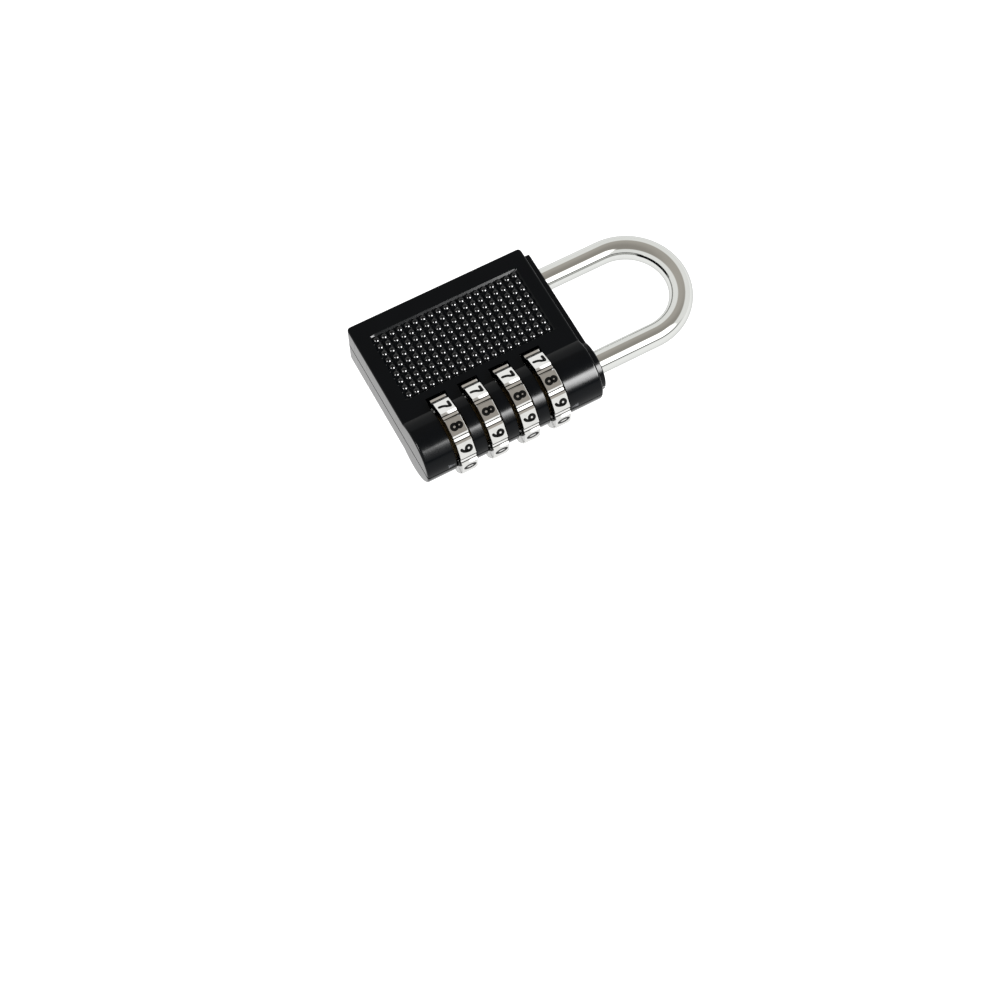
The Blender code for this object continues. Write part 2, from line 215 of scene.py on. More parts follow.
class Shader:
    """A node tree that is being filled; node() adds one node and gives back an output of it."""

    def __init__(self, tree):
        self.tree = tree
        tree.nodes.clear()

    def node(self, kind, settings=None, inputs=None, output=0):
        """Adds a node: its settings first, then the values or signals of its sockets."""
        made = self.tree.nodes.new(kind)
        for key, value in (settings or {}).items():
            setattr(made, key, value)
        for key, value in (inputs or {}).items():
            if isinstance(value, Signal):
                self.tree.links.new(value.socket, made.inputs[key])
            else:
                made.inputs[key].default_value = value
        return Signal(self, made.outputs[output]) if made.outputs else None

    def place(self, stretch=(1.0, 1.0, 1.0)):
        """The place on the piece, stretched so that a pattern runs longer along one direction."""
        here = self.node("ShaderNodeTexCoord", output="Object")
        return self.node("ShaderNodeMapping", {}, {"Vector": here, "Scale": stretch})

    def noise(self, size, detail=2.0, stretch=(1.0, 1.0, 1.0)):
        """Soft noise with blotches of a given size in millimetres, from 0 to 1."""
        return self.node(
            "ShaderNodeTexNoise", {},
            {"Vector": self.place(stretch), "Scale": 1 / (size * MM), "Detail": detail},
        )

    def blend(self, amount, first, second):
        """From the first colour to the second as amount goes from 0 to 1."""
        first, second = (c if isinstance(c, Signal) else (*c, 1.0) for c in (first, second))
        return self.node(
            "ShaderNodeMix", {"data_type": "RGBA"},
            {"Factor": amount, 6: first, 7: second}, output=2,
        )

    def relief(self, height, depth):
        """A normal from a height signal that is depth millimetres tall."""
        return self.node("ShaderNodeBump", {}, {"Height": height, "Distance": depth * MM})


def finish(name, colour, roughness, normal=None, **fixed):
    """A Principled material. Colour and roughness get the shader and give back a signal."""
    material = bpy.data.materials.new(name)
    material.use_nodes = True
    shader = Shader(material.node_tree)
    inputs = {"Base Color": colour(shader), "Roughness": roughness(shader)}
    if normal:
        inputs["Normal"] = normal(shader)
    inputs.update({key.replace("_", " "): value for key, value in fixed.items()})
    surface = shader.node("ShaderNodeBsdfPrincipled", {}, inputs)
    shader.node("ShaderNodeOutputMaterial", {}, {"Surface": surface})
    print("finish:", name)
    return material


# %% [markdown]
# ## Black enamel
# The casting is sprayed with gloss black enamel and baked. It is close to a black mirror: the
# colour comes almost wholly from what it reflects. Sprayed enamel keeps a very shallow ripple
# about a millimetre across, and it is a touch duller here and there, so both go into the finish.
# Thumbs keep the beads of the panel polished, so those get a glossier coat.

# %% Black enamel
PEEL_SIZE = 0.9
PEEL_DEPTH = 0.0025


def enamel(name, roughness, gloss):
    """Black enamel: nearly no colour of its own, and only as shiny as its gloss says."""
    return finish(
        name,
        lambda s: s.blend(s.noise(6), (0.0002, 0.0003, 0.0004), (0.0004, 0.0005, 0.0007)),
        lambda s: roughness + 0.08 * s.noise(2.5, 4),
        lambda s: s.relief(s.noise(PEEL_SIZE), PEEL_DEPTH),
        Specular_IOR_Level=gloss,
    )


ENAMEL = enamel("black_enamel", 0.12, 0.08)
BEAD_ENAMEL = enamel("bead_enamel", 0.06, 0.26)

# %% [markdown]
# ## Chrome and the inner metals
# The shackle is polished steel under bright chrome. The dials are plated castings, slightly
# wavier, and the two creases of each groove between their flats are painted near black, as
# painted shade. The digits are filled with matt black paint. Inside are brass sleeves, painted
# much darker than brass as painted shade of the gap beside each dial, a spring-steel leaf and
# coil, and plain turned steel, each with the fine lines that its making leaves.

# %% Metals and ink
SIDES = 10
OFF_CREASE = 0.076
CREASE_DARK, CREASE_FADE = 0.014, 0.032


def painted_crease_shade(s):
    """Painted shade mask: one at the two creases of each groove of a dial, and zero away from them.

    The angle round the axis is counted in sectors of one digit, so its fraction is a half in the
    middle of a groove, and the creases lie OFF_CREASE of a sector to either side of that. The line
    is full up to CREASE_DARK from a crease and gone at CREASE_FADE.
    """
    x, y, z = (s.node("ShaderNodeSeparateXYZ", {}, {0: s.place()}, k) for k in (0, 1, 2))
    angle = s.node("ShaderNodeMath", {"operation": "ARCTAN2"},
                   {0: z - MID_Z * MM, 1: x - AXIS_X * MM})
    sectors = angle * (SIDES / (2 * math.pi)) + SIDES
    turn = s.node("ShaderNodeMath", {"operation": "FRACT"}, {0: sectors})
    groove = s.node("ShaderNodeMath", {"operation": "ABSOLUTE"}, {0: turn - 0.5})
    line = s.node("ShaderNodeMath", {"operation": "ABSOLUTE"}, {0: groove - OFF_CREASE})
    return 1 - s.node("ShaderNodeMapRange", {}, {0: line, 1: CREASE_DARK, 2: CREASE_FADE})


SHACKLE_CHROME = finish(
    "shackle_chrome_plate",
    lambda s: s.blend(s.noise(9), (0.50, 0.51, 0.495), (0.55, 0.555, 0.54)),
    lambda s: 0.03 + 0.03 * s.noise(0.5, 3, (1.0, 0.12, 1.0)),
    lambda s: s.relief(s.noise(5.0, 1), 0.0015),
    Specular_Tint=(0.6, 0.6, 0.6, 1.0),
    Metallic=1.0,
)
DIAL_CHROME = finish(
    "dial_chrome_plate",
    lambda s: s.blend(
        # Painted shade: the near-black colour below is laid along the creases of the grooves
        painted_crease_shade(s),
        s.blend(s.noise(1.5), (0.56, 0.56, 0.55), (0.64, 0.64, 0.63)),
        (0.02, 0.018, 0.016),
    ),
    lambda s: 0.05 + 0.05 * s.noise(0.4, 3),
    lambda s: s.relief(s.noise(1.5, 2), 0.002),
    Specular_Tint=(0.55, 0.55, 0.55, 1.0),
    Metallic=1.0,
)
INK = finish(
    "black_digit_paint",
    lambda s: s.blend(s.noise(0.3), (0.001, 0.001, 0.001), (0.004, 0.004, 0.004)),
    lambda s: 0.40 + 0.2 * s.noise(0.2, 3),
    Specular_IOR_Level=0.10,
)
# Painted shade: a base colour far darker than brass, so the gap beside each dial reads dark
BRASS_PAINTED_DARK = finish(
    "turned_brass",
    lambda s: s.blend(s.noise(2, 3), (0.10, 0.072, 0.034), (0.16, 0.115, 0.055)),
    lambda s: 0.30 + 0.16 * s.noise(0.25, 3, (0.1, 1.0, 0.1)),
    lambda s: s.relief(s.noise(0.2, 2, (0.05, 1.0, 0.05)), 0.006),
    Metallic=1.0,
)
SPRING_STEEL = finish(
    "spring_steel",
    lambda s: s.blend(s.noise(1.5, 3), (0.34, 0.34, 0.34), (0.50, 0.49, 0.47)),
    lambda s: 0.26 + 0.12 * s.noise(0.3, 3),
    Metallic=1.0,
)
STEEL = finish(
    "turned_steel",
    lambda s: s.blend(s.noise(1.5, 3), (0.55, 0.55, 0.54), (0.66, 0.66, 0.64)),
    lambda s: 0.18 + 0.14 * s.noise(0.2, 3, (0.1, 1.0, 0.1)),
    Metallic=1.0,
)

# %% [markdown]
# ## The half shells
# Each half of the real body is a casting that pulls straight out of its mould, so over any point
# of the plan there is exactly one outer height and one inner height. That makes it a thick
# sheet: a grid over the plan, lifted once to the outer skin and once to the inner skin, with
# cells left out where the dials come through. Walls appear by themselves wherever a kept cell
# has no neighbour. Columns run round the section from the plain side to the barrel; rows run
# along the body, and rows or columns that share a place make an upright step.

# %% A thick sheet with openings


def thick_sheet(outer, inner, keep):
    """Two skins over one grid, joined by walls round every edge and opening.

    outer and inner are (rows, columns, 3) points; keep says which cells of the grid exist.
    """
    rows, columns, _ = outer.shape
    top = np.arange(rows * columns).reshape(rows, columns)
    low = top + rows * columns
    kept = np.pad(keep, 1)

    def cells(index):
        return np.stack([index[:-1, :-1], index[:-1, 1:], index[1:, 1:], index[1:, :-1]], -1)[keep]

    before, after = kept[:-1, 1:-1], kept[1:, 1:-1]
    across = np.stack([top[:, :-1], top[:, 1:], low[:, 1:], low[:, :-1]], -1)
    left, right = kept[1:-1, :-1], kept[1:-1, 1:]
    along = np.stack([top[:-1], top[1:], low[1:], low[:-1]], -1)
    faces = [
        cells(top), cells(low)[:, ::-1],
        across[before & ~after], across[after & ~before][:, ::-1],
        along[right & ~left], along[left & ~right][:, ::-1],
    ]
    return np.concatenate([outer, inner]).reshape(-1, 3), np.concatenate(faces)


# %% [markdown]
# ### The body's own sizes
# The edges round over by half a millimetre, the corners seen from the front by one. The front
# carries a recessed panel with sloping sides. Inside are the bore for the sleeve stack, the
# narrower bore above it, the two leg bores, a pocket, the channel of the leaf spring, and wells
# for the four pins. A hollow with straight sides is given by its two x, its two y and its roof.

# %% Sizes of the half shells
EDGE = 0.5
PLAN_CORNER = 1.0
COLLAR_LENGTH = 1.7
COLLAR_INSET = 1.7
BODY_END = COLLAR_Y - COLLAR_LENGTH
COLLAR_EDGE = 0.35
FOOT_IN, FOOT_UP = 0.40, 0.20
SEAM_IN, SEAM_UP = 0.40, 0.14
BORE_FLARE = 0.25
DIAL_REACH = 9.904
WINDOW_REACH = DIAL_REACH + 0.4
HALF_WINDOW = 2.65
RIM = 0.12
STACK_RADIUS = 6.4
HEAD_RADIUS = 5.3
LEG_PLAY = 0.3
LEG_RADIUS = BAR_RADIUS + LEG_PLAY
TOE_X = bar_low[0] + BAR_RADIUS
TOE_BORE_Y = bar_low[1] + 40.7
PANEL_X = (SIDE_X + 4.7, SIDE_X + 24.1)
PANEL_Y = (BOTTOM_Y + 3.8, BOTTOM_Y + 44.0)
PANEL_DEPTH = 0.52
PANEL_SLOPE = 0.50
STACK_Y = (BOTTOM_Y + 1.2, BOTTOM_Y + 40.7)
HEAD_END = BOTTOM_Y + 43.6
POCKET = (SIDE_X + 2.0, SIDE_X + 21.0, BOTTOM_Y + 8.0, BOTTOM_Y + 35.0, HALF - 1.7)
CHANNEL = (SIDE_X + 20.5, SIDE_X + 25.0, BOTTOM_Y + 6.5, BOTTOM_Y + 40.0, 4.0)
WELL_REACH = 1.2
WELL_ROOF = 4.8
WELLS = []
for number in (1, 2, 3, 4):
    x, y, _ = sum(corners(f"shell_pin_{number}")) / 2
    WELLS.append((x - WELL_REACH, x + WELL_REACH, y - WELL_REACH, y + WELL_REACH, WELL_ROOF))
print("pin wells, mm:", [[round(float(v), 1) for v in well] for well in WELLS])

# %% Rows along the body
ARC = np.radians(np.arange(0, 91, 15))
COLLAR_ARC = np.radians(np.arange(90, -1, -22.5))
FAR = 9.0  # a run that no rounding reaches
EPS = 1e-6  # how far a step's two stations look to either side of it


def inset(run, radius):
    """How far a rounded end stands back at a distance run from it: a quarter of a circle."""
    left = np.clip(radius - run, 0, radius)
    return radius - np.sqrt(radius**2 - left**2)


def stations(steps, plain, low, high):
    """Sorted places and where each is looked up. A step has a station on either side of it."""
    steps = np.unique(np.round([s for s in steps if low < s < high], 6))
    plain = np.setdiff1d(np.round([p for p in plain if low < p < high], 6), steps)
    place = np.concatenate([steps, steps, plain])
    looked = np.concatenate([steps - EPS, steps + EPS, plain])
    order = np.argsort(looked)
    return place[order], looked[order]


rounding = PLAN_CORNER * (1 - np.cos(ARC))
window_edges = [y + side * HALF_WINDOW for y in DIALS.values() for side in (-1, 1)]
rim_lines = [y + side * (HALF_WINDOW + RIM) for y in DIALS.values() for side in (-1, 1)]
slope_lines = [PANEL_Y[0], PANEL_Y[1], PANEL_Y[0] + PANEL_SLOPE, PANEL_Y[1] - PANEL_SLOPE]
hollow_ends = [*STACK_Y, HEAD_END, TOE_BORE_Y, *POCKET[2:4], *CHANNEL[2:4]]
hollow_ends += [y for well in WELLS for y in well[2:4]]
mid_y, mid_look = stations(
    window_edges + slope_lines + hollow_ends, rim_lines,
    BOTTOM_Y + PLAN_CORNER, BODY_END - PLAN_CORNER,
)
start_y = BOTTOM_Y + rounding
close_y = BODY_END - rounding[::-1]
collar_rounding = COLLAR_EDGE * (1 - np.cos(COLLAR_ARC))
collar_y = np.concatenate([[BODY_END], COLLAR_Y - collar_rounding])
ROW_Y = np.concatenate([start_y, mid_y, close_y, collar_y])
ROW_LOOK = np.concatenate([start_y, mid_look, close_y, collar_y])
end_run = np.concatenate([rounding, FAR + 0 * mid_y, rounding[::-1]])
collar_back = COLLAR_INSET + inset(np.concatenate([[FAR], collar_rounding]), COLLAR_EDGE)
BACK_X = np.concatenate([inset(end_run, PLAN_CORNER), collar_back])
BACK_Z = np.concatenate([inset(end_run, EDGE), collar_back])
ON_RIM = np.isin(np.round(ROW_Y, 6), np.round(window_edges, 6))
print("rows along the body:", len(ROW_Y))

# %% [markdown]
# The columns that need care are those over round features: on a bore or on the window's round
# cut they are spaced by equal angles, because equal steps in x would leave the steep part of the
# circle coarse.

# %% Columns across the flat part


def round_stations(centre, radius, first, last, count):
    """Places along x at equal angles on a circle, with the angles in degrees."""
    return centre + radius * np.cos(np.radians(np.linspace(first, last, count)))


window_top = 180 - math.degrees(math.asin(HALF / WINDOW_REACH))
WINDOW_X = AXIS_X + WINDOW_REACH * math.cos(math.radians(window_top))
crease = 180 - math.degrees(math.asin(HALF / BARREL_RADIUS))
CREASE_X = AXIS_X + BARREL_RADIUS * math.cos(math.radians(crease))
step_x = [*PANEL_X, PANEL_X[0] + PANEL_SLOPE, PANEL_X[1] - PANEL_SLOPE]
step_x += [x for area in (POCKET, CHANNEL, *WELLS) for x in area[:2]]
plain_x = np.concatenate([
    round_stations(TOE_X, LEG_RADIUS, 180, 0, 25),
    round_stations(TOE_X, LEG_RADIUS + BORE_FLARE, 180, 0, 13),
    round_stations(AXIS_X, WINDOW_REACH, 179, window_top, 9),
    round_stations(AXIS_X, STACK_RADIUS, 180, 136, 7),
])
FLAT_X, FLAT_LOOK = stations(step_x, plain_x, SIDE_X + EDGE, CREASE_X - 0.05)
first_open = int(np.argmin(np.abs(FLAT_X - WINDOW_X)))
print("columns on the flat part:", len(FLAT_X), "window starts at x", round(WINDOW_X, 2))

# %% Inner and outer heights


def within(x, y, area):
    """True where a point lies between an area's two x and its two y."""
    return (x > area[0]) & (x < area[1]) & (y > area[2]) & (y < area[3])


def half_round(x, centre, radius):
    """Height of a circle over x, and nothing beside it."""
    return np.sqrt(np.clip(radius**2 - (x - centre) ** 2, 0, None))


def leg_bore(y):
    """Radius of the bore round a leg of the shackle: a constant, wider at the mouth."""
    return LEG_RADIUS + BORE_FLARE * (np.abs(y - COLLAR_Y) < 0.01)


def bore_radius(y):
    """Radius of the barrel's bore: none, then the sleeve stack's, the head's and the leg's."""
    return np.select(
        [y < STACK_Y[0], y < STACK_Y[1], y < HEAD_END], [0.0, STACK_RADIUS, HEAD_RADIUS],
        leg_bore(y),
    )


def inner_height(x, y):
    """Roof of whatever is hollow at a point: pockets, wells, bores and window cuts."""
    roof = np.full(np.broadcast(x, y).shape, HALF_GAP)
    for area in (POCKET, CHANNEL, *WELLS):
        roof = np.where(within(x, y, area), np.maximum(roof, area[4]), roof)
    roof = np.maximum(roof, half_round(x, AXIS_X, bore_radius(y)))
    roof = np.maximum(roof, half_round(x, TOE_X, leg_bore(y)) * (y > TOE_BORE_Y))
    for dial_y in DIALS.values():
        cut = half_round(x, AXIS_X, WINDOW_REACH) * (np.abs(y - dial_y) < HALF_WINDOW)
        roof = np.maximum(roof, cut)
    return roof


def panel_depth(x, y):
    """Depth of the front panel: it grows evenly over the sloping sides, then stays level."""
    inside = np.minimum(
        np.minimum(x - PANEL_X[0], PANEL_X[1] - x), np.minimum(y - PANEL_Y[0], PANEL_Y[1] - y)
    )
    return PANEL_DEPTH * np.clip(inside / PANEL_SLOPE, 0, 1)


# %% [markdown]
# Heights are measured from the parting plane. The outer skin runs up the plain side, round its
# edge, over the flat front and round the barrel. The inner skin has the same number of columns,
# so that the two can be joined point by point.

# %% Outer and inner skin of a half shell
BARREL_STEPS = 40
BARREL_TOE = 0.1


def outer_skin(panel):
    """Places of the outer skin: two foot columns, a quarter round, the flat part, the barrel."""
    y, look = ROW_Y[:, None], ROW_LOOK[:, None]
    back_x, back_z = BACK_X[:, None], BACK_Z[:, None]
    rim = RIM * ON_RIM[:, None]
    foot_x = np.concatenate([SIDE_X + back_x + FOOT_IN, SIDE_X + back_x], 1)
    foot_z = np.concatenate([0 * back_x + HALF_GAP, 0 * back_x + HALF_GAP + FOOT_UP], 1)
    wall_x = SIDE_X + back_x + EDGE * (1 - np.cos(ARC[None]))
    wall_z = HALF - back_z - EDGE * (1 - np.sin(ARC[None]))
    flat_x = np.maximum(FLAT_X[None], SIDE_X + back_x + EDGE) + 0 * y
    flat_rim = rim * (np.arange(len(FLAT_X))[None] > first_open)
    flat_z = HALF - back_z - flat_rim - panel * panel_depth(FLAT_LOOK[None], look)
    radius = BARREL_RADIUS - back_z - rim
    first = np.pi - np.arcsin((HALF - back_z - rim) / radius)
    last = np.arcsin((HALF_GAP + BARREL_TOE) / radius)
    angle = first + (last - first) * np.linspace(0, 1, BARREL_STEPS + 1)[None]
    toe_x = AXIS_X + radius - BARREL_TOE
    x = np.concatenate([foot_x, wall_x, flat_x, AXIS_X + radius * np.cos(angle), toe_x], 1)
    toe_z = 0 * toe_x + HALF_GAP
    z = np.concatenate([foot_z, wall_z, flat_z, radius * np.sin(angle), toe_z], 1)
    return x, z


def inner_skin(outer_x):
    """Places of the inner skin: under each outer column as far as the barrel, then the bore."""
    look = ROW_LOOK[:, None]
    bore = bore_radius(look)
    shown = np.where(bore > 0, bore, STACK_RADIUS)
    crease_x = outer_x[:, FIRST_ROUND:FIRST_ROUND + 1]
    reach = np.clip((crease_x - AXIS_X) / shown, -1, 1)
    first = np.minimum(np.arccos(reach), np.pi - np.arcsin(HALF_GAP / shown))
    last = np.arcsin(HALF_GAP / shown)
    angle = first + (last - first) * np.linspace(0, 1, BARREL_STEPS)[None]
    bore_x = AXIS_X + shown * np.cos(angle)
    bore_z = np.where(bore > 0, shown * np.sin(angle), HALF_GAP)
    wall_z = np.full((len(look), FIRST_FLAT), HALF_GAP)
    flat_z = inner_height(FLAT_LOOK[None], look)
    crease_z = inner_height(crease_x, look)
    x = np.concatenate([outer_x[:, :FIRST_ROUND], crease_x, bore_x, bore_x[:, -1:]], 1)
    z = np.concatenate([wall_z, flat_z, crease_z, bore_z, bore_z[:, -1:]], 1)
    return x, z


FIRST_FLAT = 2 + len(ARC)
FIRST_ROUND = FIRST_FLAT + len(FLAT_X)
print("columns:", FIRST_ROUND + BARREL_STEPS + 2, "of which round the barrel:", BARREL_STEPS + 1)

# %% Both half shells


def half_shell(panel):
    """Both skins, with the parting edge opened a little at the ends, and the cells that exist."""
    y = ROW_Y[:, None]
    outer_x, outer_z = outer_skin(panel)
    inner_x, inner_z = inner_skin(outer_x)
    inner_z = np.maximum(np.minimum(inner_z, outer_z), HALF_GAP)
    run = np.minimum(y - BOTTOM_Y, COLLAR_Y - y)
    seam = HALF_GAP + SEAM_UP * np.clip(1 - run / SEAM_IN, 0, 1)
    outer = np.stack([outer_x, y + 0 * outer_x, np.maximum(outer_z, seam)], -1)
    inner = np.stack([inner_x, y + 0 * inner_x, np.maximum(inner_z, seam)], -1)
    middle = (ROW_LOOK[:-1] + ROW_LOOK[1:]) / 2
    dial_y = np.array(list(DIALS.values()))[:, None]
    in_window = (np.abs(middle - dial_y) < HALF_WINDOW + EPS / 2).any(0)
    over_dials = np.arange(outer_x.shape[1] - 1) >= first_open + FIRST_FLAT
    return outer, inner, ~(in_window[:, None] & over_dials[None])


def make_shell(name, node, side, panel):
    """A half shell above (+1) or below (-1) the parting plane."""
    outer, inner, keep = half_shell(panel)
    points, quads = thick_sheet(outer, inner, keep)
    points = points * (1, 1, side) + (0, 0, MID_Z)
    made = make_piece(name, points, quads, "body", ENAMEL, "body_paint")
    even = made.modifiers.new("Flat faces stay flat", "WEIGHTED_NORMAL")
    even.keep_sharp = True
    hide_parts(node)


make_shell("front_half", "front_shell", +1, 1.0)
make_shell("back_half", "back_shell", -1, 0.0)

# %% [markdown]
# ## The beaded panel
# The panel gives the thumb its grip. Its floor is divided into small square cells by thin
# ridges, and a polished bead stands in each. One bead is a dome of a few dozen faces, and the
# whole field is that dome repeated over the grid by adding two arrays of places.

# %% Beads
BEADS_X, BEADS_Y = 9, 19
MARGIN = 0.2
PITCH = min(
    (PANEL_X[1] - PANEL_X[0]) / (BEADS_X + MARGIN), (PANEL_Y[1] - PANEL_Y[0]) / (BEADS_Y + MARGIN)
)
BEAD_RADIUS = 0.88
BEAD_BALL = 1.0
BEAD_RINGS = np.array([1, 0.8, 0.55, 0.28, 0])
SINK = 0.05
PANEL_CENTRE = np.array([sum(PANEL_X) / 2, sum(PANEL_Y) / 2, MID_Z + HALF - PANEL_DEPTH])


def lattice(count, pitch):
    """Evenly spaced places along a line, centred on zero."""
    return (np.arange(count) - (count - 1) / 2) * pitch


def repeated(points, quads, places):
    """One shape copied to many places, as one set of points and faces."""
    copies = points[None] + places[:, None]
    shift = np.arange(len(places))[:, None, None] * len(points)
    return copies.reshape(-1, 3), (quads[None] + shift).reshape(-1, 4)


def dome():
    """Rings whose radius and height follow the top of a ball, on a closed foot."""
    turn = np.linspace(0, 2 * np.pi, 13)[None]
    lean = np.arcsin(BEAD_RADIUS / BEAD_BALL) * BEAD_RINGS
    radius = np.concatenate([[0, BEAD_RADIUS], BEAD_BALL * np.sin(lean)])[:, None]
    lift = BEAD_BALL * (np.cos(lean) - math.cos(lean[0]))
    height = np.concatenate([[-SINK, -SINK], lift])[:, None]
    points = np.stack([radius * np.cos(turn), radius * np.sin(turn), height + 0 * turn], -1)
    return points.reshape(-1, 3), grid_quads(*points.shape[:2])


across, along = np.meshgrid(lattice(BEADS_X, PITCH), lattice(BEADS_Y, PITCH))
bead_places = np.stack([across.ravel(), along.ravel(), 0 * across.ravel()], -1) + PANEL_CENTRE
make_piece("panel_beads", *repeated(*dome(), bead_places), "body", BEAD_ENAMEL, "body_paint", 50)

# %% Thin ridges between the beads
RIDGE_WIDTH = 0.30
RIDGE_HEIGHT = 0.22


def ridge(length, direction):
    """A bar with a pointed back: a triangle carried along one direction, closed at both ends."""
    width = np.array([0, -1, -1, 0, 1, 1, 0])[:, None] * RIDGE_WIDTH / 2
    height = np.array([-SINK, -SINK, 0, RIDGE_HEIGHT, 0, -SINK, -SINK])[:, None]
    run = np.array([-1, -1, 1, 1])[None] * length / 2
    scale = np.array([0, 1, 1, 0])[None]
    side = width * scale
    lift = height * scale - SINK * (1 - scale)
    parts = (side, run + 0 * side, lift) if direction == "y" else (run + 0 * side, side, lift)
    return np.stack(parts, -1).reshape(-1, 3), grid_quads(7, 4)


field_x = BEADS_X * PITCH
field_y = BEADS_Y * PITCH
for direction, count, length in (("y", BEADS_X + 1, field_y), ("x", BEADS_Y + 1, field_x)):
    offsets = lattice(count, PITCH)
    blank = 0 * offsets
    places = (offsets, blank, blank) if direction == "y" else (blank, offsets, blank)
    field = repeated(*ridge(length, direction), np.stack(places, -1) + PANEL_CENTRE)
    make_piece(f"panel_ridges_{direction}", *field, "body", ENAMEL, "body_paint")

# %% [markdown]
# ## The shackle
# The shackle is a round steel bar bent to a U and chromed. A circle carried along its centre
# line gives it: the radius changes along the way for the chamfered ends and for the groove of
# its retaining ring. Four square lugs on the long leg are what the sleeves catch; they are small
# closed blocks that grow out of the bar.

# %% The bar
BOW_RADIUS = (AXIS_X - TOE_X) / 2
BOW_X = (AXIS_X + TOE_X) / 2
BOW_Y = bar_high[1] - BAR_RADIUS - BOW_RADIUS
LONG_END = bar_low[1]
TOE_END = COLLAR_Y - 6.5
RING_Y = (ring_low[1] + ring_high[1]) / 2
RING_GROOVE = (RING_Y - 0.4, RING_Y + 0.4)
RING_GROOVE_RADIUS = 2.4
CHAMFER = 0.35
AROUND = 65


def shackle_bar():
    """A circle of varying radius carried up the long leg, round the bow and down the toe leg."""
    below, above = RING_GROOVE
    tip, full, cut = BAR_RADIUS - CHAMFER, BAR_RADIUS, RING_GROOVE_RADIUS
    leg_y = [LONG_END, LONG_END, LONG_END + CHAMFER, below, below, above, above]
    leg_r = [0, tip, full, full, cut, cut, full]
    up = np.linspace(above, BOW_Y, 30)[1:-1]
    bend = np.linspace(0, np.pi, 73)
    down = np.linspace(BOW_Y, TOE_END + CHAMFER, 12)[1:]
    toe_y = [TOE_END, TOE_END]
    toe_r = [tip, 0]
    x = np.concatenate([
        np.full(len(leg_y) + len(up), AXIS_X), BOW_X + BOW_RADIUS * np.cos(bend),
        np.full(len(down) + 2, TOE_X),
    ])
    y = np.concatenate([leg_y, up, BOW_Y + BOW_RADIUS * np.sin(bend), down, toe_y])
    body_r = np.full(len(up) + len(bend) + len(down), full)
    radius = np.concatenate([leg_r, body_r, toe_r])[:, None]
    heading = np.concatenate([
        np.zeros(len(leg_y) + len(up)), bend, np.full(len(down) + 2, np.pi)
    ])[:, None]
    turn = np.linspace(0, 2 * np.pi, AROUND)[None]
    out = radius * np.cos(turn)
    points = np.stack([
        x[:, None] + out * np.cos(heading), y[:, None] + out * np.sin(heading),
        MID_Z + radius * np.sin(turn),
    ], -1)
    return points.reshape(-1, 3), grid_quads(len(x), AROUND)


def soft_block(low, high, edge):
    """A box with chamfered edges: square rings that shrink by the chamfer at both ends.

    The outermost rings shrink to a point, which closes the ends.
    """
    low, high = np.array(low), np.array(high)
    shrink = np.array([1e9, edge, 0, 0, edge, 1e9])
    level = np.array([low[0], low[0], low[0] + edge, high[0] - edge, high[0], high[0]])
    half = (high - low)[1:] / 2
    middle = (high + low)[1:] / 2
    corner_y = np.array([1, 1, -1, -1, -1, -1, 1, 1, 1])
    corner_z = np.array([-1, 1, 1, 1, 1, -1, -1, -1, -1])
    y = middle[0] + corner_y[None] * np.maximum(half[0] - shrink[:, None], 0)
    z = middle[1] + corner_z[None] * np.maximum(half[1] - shrink[:, None], 0)
    x = level[:, None] + 0 * y
    return np.stack([x, y, z], -1).reshape(-1, 3), grid_quads(6, 9)


# %% The four lugs on the long leg
LUG_WIDTH = 1.9
LUG_HEIGHT = 2.0
LUG_BELOW = 1.1
LUG_ROOT = 1.0
LUG_EDGE = 0.15

bar_points, bar_quads = shackle_bar()
for dial_y in DIALS.values():
    lug_points, lug_quads = soft_block(
        (AXIS_X + LUG_ROOT, dial_y - LUG_BELOW - LUG_HEIGHT, MID_Z - LUG_WIDTH / 2),
        (bar_high[0], dial_y - LUG_BELOW, MID_Z + LUG_WIDTH / 2), LUG_EDGE,
    )
    bar_quads = np.concatenate([bar_quads, lug_quads + len(bar_points)])
    bar_points = np.concatenate([bar_points, lug_points])
bar = make_piece("shackle_bar", bar_points, bar_quads, "shackle", SHACKLE_CHROME, "shackle_chrome")
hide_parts("shackle")

# %% [markdown]
# ## The dials
# A dial is a ring with ten flats, one for each digit, and a shallow grip groove between each
# two. Inside, it has a notch for every digit, which the sleeve's teeth stand in. A closed
# profile is carried round the axis: at every angle it runs along the outside, down one flank,
# through the bore and back. The outside follows the flats and grooves while the bore follows
# the notches, so one grid holds both. The rims round over in two steps.

# %% One dial
DIGIT_ROOM = 0.015
FLAT_REACH = dial_high[0] - AXIS_X - DIGIT_ROOM
FLAT_WIDTH = 4.0
GROOVE_REACH = 9.4
GROOVE_WIDTH = 0.9
HALF_DIAL = (dial_high[1] - dial_low[1]) / 2
BORE = 6.3
NOTCH = 7.7
HALF_NOTCH = 0.9
NOTCH_FLOOR = -0.5
DIAL_EDGE = 0.16
EDGE_STEP = 0.3 * DIAL_EDGE


